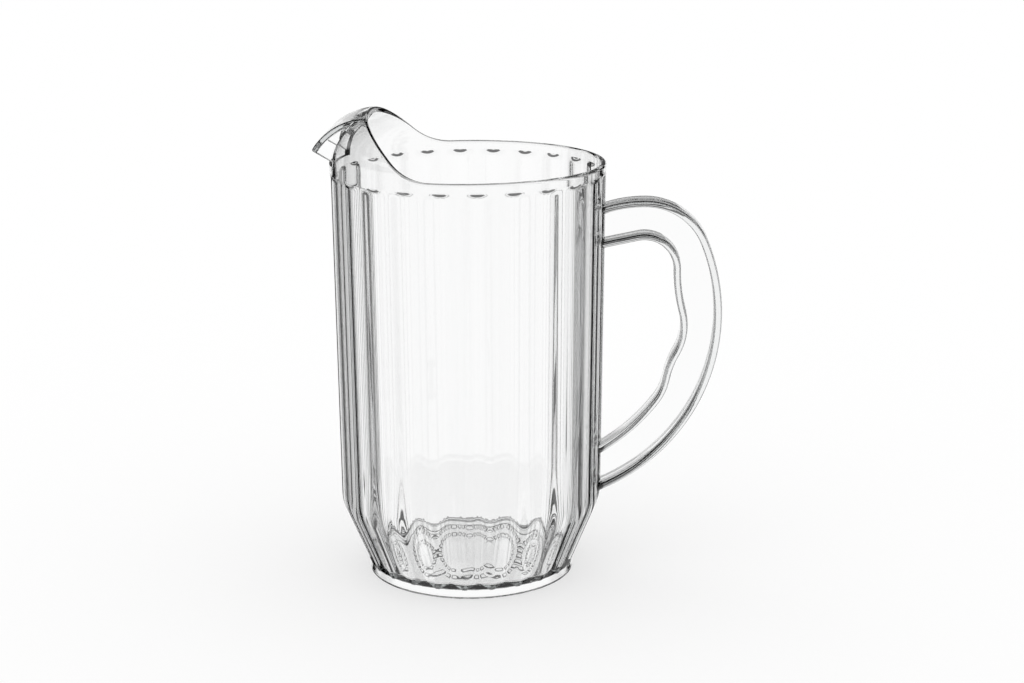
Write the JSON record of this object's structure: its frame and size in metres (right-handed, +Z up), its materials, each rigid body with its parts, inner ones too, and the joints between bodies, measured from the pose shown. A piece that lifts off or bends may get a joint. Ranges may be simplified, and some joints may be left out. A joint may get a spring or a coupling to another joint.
{
  "type": "beer pitcher",
  "caption": "Clear plastic beer pitcher: tapering fluted cup on a foot ring, with a hooded pouring spout and an open I-section handle with finger swells.",
  "frame": {"origin": "centre of the foot ring's flat underside, on the cup's axis", "axes": "+Z up along the cup's axis, +X towards the handle, -X towards the spout, +Y to the left of someone who faces the handle's way"},
  "size_m": [0.1866, 0.127, 0.219],
  "materials": {
    "clear_plastic": "clear and polished, moulded styrene-acrylonitrile"
  },
  "bodies": {
    "root": {"body": "clear_plastic", "foot_ring": "clear_plastic", "spout_hood": "clear_plastic", "spout_beak": "clear_plastic", "handle_outer_rail": "clear_plastic", "handle_inner_rail": "clear_plastic", "handle_web": "clear_plastic"}
  },
  "joints": []
}
